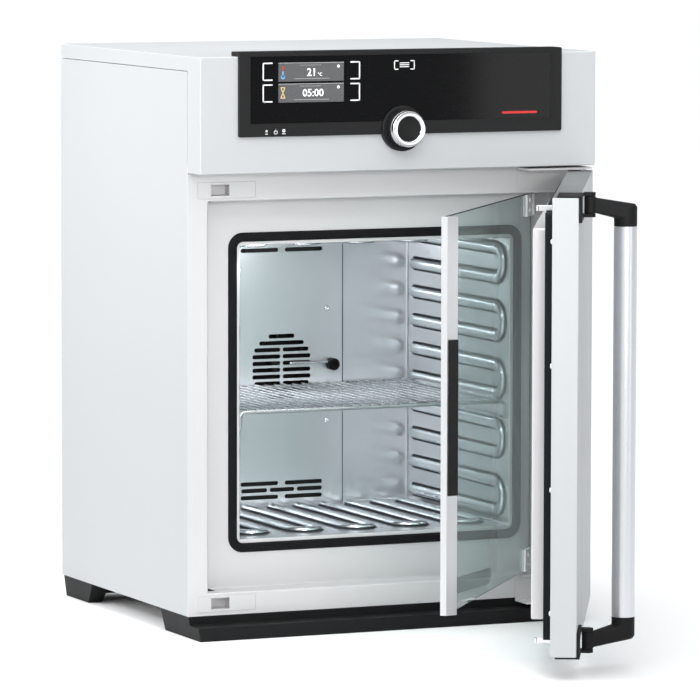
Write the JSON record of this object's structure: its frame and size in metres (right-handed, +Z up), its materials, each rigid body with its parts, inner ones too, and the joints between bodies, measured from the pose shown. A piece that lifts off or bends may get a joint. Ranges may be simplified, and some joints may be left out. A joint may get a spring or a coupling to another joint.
{
  "type": "laboratory incubator",
  "caption": "Bench-top laboratory incubator with steel chamber, wire shelf, inner glass door, insulated outer door with bar handle, and a control header with display and knob.",
  "frame": {"origin": "on the floor, under the middle of the front frame's face, on the front plinth's underside", "axes": "+X to the right as the user faces it, +Y to the back, +Z up"},
  "size_m": [0.59, 1.0147, 0.7904],
  "materials": {
    "casing_paint": "satin",
    "frame_steel": "satin",
    "chamber_steel": "satin",
    "wire_steel": "polished",
    "black_plastic": "matte",
    "black_rubber": "matte",
    "panel_glass": "gloss",
    "display": "gloss",
    "knob_metal": "satin",
    "satin_aluminium": "satin",
    "door_liner_steel": "satin",
    "foam": "matte",
    "board": "matte",
    "supply": "satin",
    "sink_aluminium": "satin",
    "ceramic_white": "matte",
    "bush_brass": "satin",
    "tinted_glass": "gloss"
  },
  "bodies": {
    "cabinet": {"side_panel_left": "casing_paint", "side_panel_right": "casing_paint", "top_cover": "casing_paint", "rear_panel": "casing_paint", "base_plate": "frame_steel", "front_frame": "frame_steel", "header_panel": "casing_paint", "control_frame": "black_plastic", "display_glass": "panel_glass", "display_windows": "display", "knob_seat": "black_plastic", "encoder": "wire_steel", "control_board": "board", "power_supply": "supply", "chamber_liner": "chamber_steel", "chamber_ribs": "chamber_steel", "rear_baffle": "chamber_steel", "baffle_screws": "wire_steel", "temperature_sensor": "wire_steel", "sensor_grommet": "black_rubber", "opening_gasket": "black_rubber", "insulation": "foam", "fan_motor": "black_plastic", "cold_plate": "sink_aluminium", "peltier_module": "ceramic_white", "heat_sink": "sink_aluminium", "rear_fan_frame": "black_plastic", "rear_fan_cover": "wire_steel", "mains_inlet": "black_plastic", "wire_shelf": "wire_steel", "front_plinth": "black_plastic", "rear_feet": "black_plastic", "rear_crossbar": "black_plastic", "latch_keepers": "frame_steel", "door_hinge_brackets": "frame_steel", "glass_hinge_pins": "frame_steel", "recess_catches": "black_plastic"},
    "knob_slide": {"knob_shaft": "wire_steel"},
    "knob": {"knob_body": "black_plastic", "knob_ring": "knob_metal", "knob_cap": "black_plastic"},
    "power_key": {"power_key": "black_plastic"},
    "chamber_fan": {"fan_wheel": "wire_steel", "fan_shaft": "wire_steel"},
    "rear_fan": {"rear_fan_rotor": "black_plastic"},
    "outer_door": {"door_shell": "casing_paint", "door_insulation": "foam", "door_inner_panel": "door_liner_steel", "door_seal": "black_rubber", "door_screws": "wire_steel", "door_hinge_bushes": "bush_brass", "handle_brackets": "black_plastic"},
    "handle": {"handle_arm_top": "black_plastic", "handle_arm_bottom": "black_plastic", "handle_tube": "satin_aluminium"},
    "latch": {"latch_hooks": "wire_steel"},
    "glass_door": {"glass_pane": "tinted_glass", "glass_profile": "satin_aluminium", "glass_grip": "black_plastic", "glass_clamps": "satin_aluminium"}
  },
  "joints": [
    {"name": "outer_door_hinge", "type": "hinge", "parent": "cabinet", "child": "outer_door", "pos_m": [0.28, -0.03, 0.32525], "axis": [0, 0, 1], "range_deg": [-61.8, 55]},
    {"name": "glass_door_hinge", "type": "hinge", "parent": "cabinet", "child": "glass_door", "pos_m": [0.232, 0.03, 0.3255], "axis": [0, 0, 1], "range_deg": [-51.1, 45.52]},
    {"name": "handle_pivot", "type": "hinge", "parent": "outer_door", "child": "handle", "pos_m": [0.06637, -0.4828, 0.32525], "axis": [0, 0, 1], "range_deg": [0, 29]},
    {"name": "latch_slide", "type": "slide", "parent": "outer_door", "child": "latch", "axis": [0.4726, 0.8813, 0], "range_m": [-0.0101, 0]},
    {"name": "knob_press", "type": "slide", "parent": "cabinet", "child": "knob_slide", "axis": [0, 1, 0], "range_m": [0, 0.001], "stiffness_N_per_m": 800},
    {"name": "knob_turn", "type": "hinge", "parent": "knob_slide", "child": "knob", "pos_m": [0, -0.065, 0.6845], "axis": [0, -1, 0], "continuous": true},
    {"name": "power_key_press", "type": "slide", "parent": "cabinet", "child": "power_key", "axis": [0, 1, 0], "range_m": [0, 0.0015], "stiffness_N_per_m": 400},
    {"name": "chamber_fan_spin", "type": "hinge", "parent": "cabinet", "child": "chamber_fan", "pos_m": [0, 0.385, 0.326], "axis": [0, 1, 0], "continuous": true},
    {"name": "rear_fan_spin", "type": "hinge", "parent": "cabinet", "child": "rear_fan", "pos_m": [0, 0.456, 0.47], "axis": [0, 1, 0], "continuous": true}
  ],
  "couplings": [
    {"joint": "glass_door_hinge", "follows": "outer_door_hinge", "ratio": 0.8268},
    {"joint": "latch_slide", "follows": "handle_pivot", "m_per_rad": -0.019757}
  ]
}
